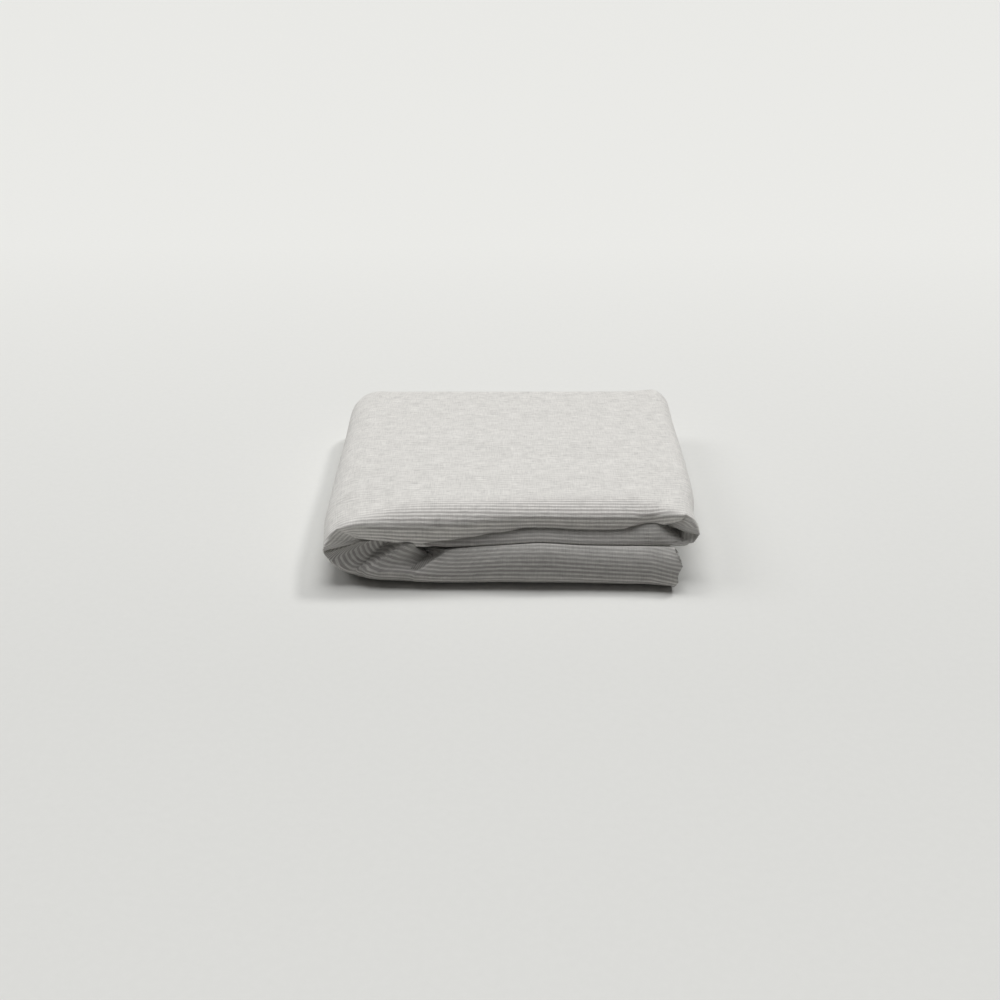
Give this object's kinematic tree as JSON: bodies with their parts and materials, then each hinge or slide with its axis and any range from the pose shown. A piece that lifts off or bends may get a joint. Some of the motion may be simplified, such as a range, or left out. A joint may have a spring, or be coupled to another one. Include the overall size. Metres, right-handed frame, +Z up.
{
  "type": "folded flat sheet",
  "caption": "Flat bed sheet of striped linen folded into a low packet with a rolled front edge, a pointed left turn and an open mouth on the right.",
  "frame": {"origin": "on the floor, under the middle of the packet's box", "axes": "+X to the right along the stripes, +Y to the back, +Z up; the rolled front edge looks along -Y"},
  "size_m": [0.3416, 0.3438, 0.0656],
  "materials": {
    "linen": "matt washed linen, warm pale grey with a fine woven pinstripe"
  },
  "bodies": {
    "root": {"folded_sheet": "linen"}
  },
  "joints": []
}
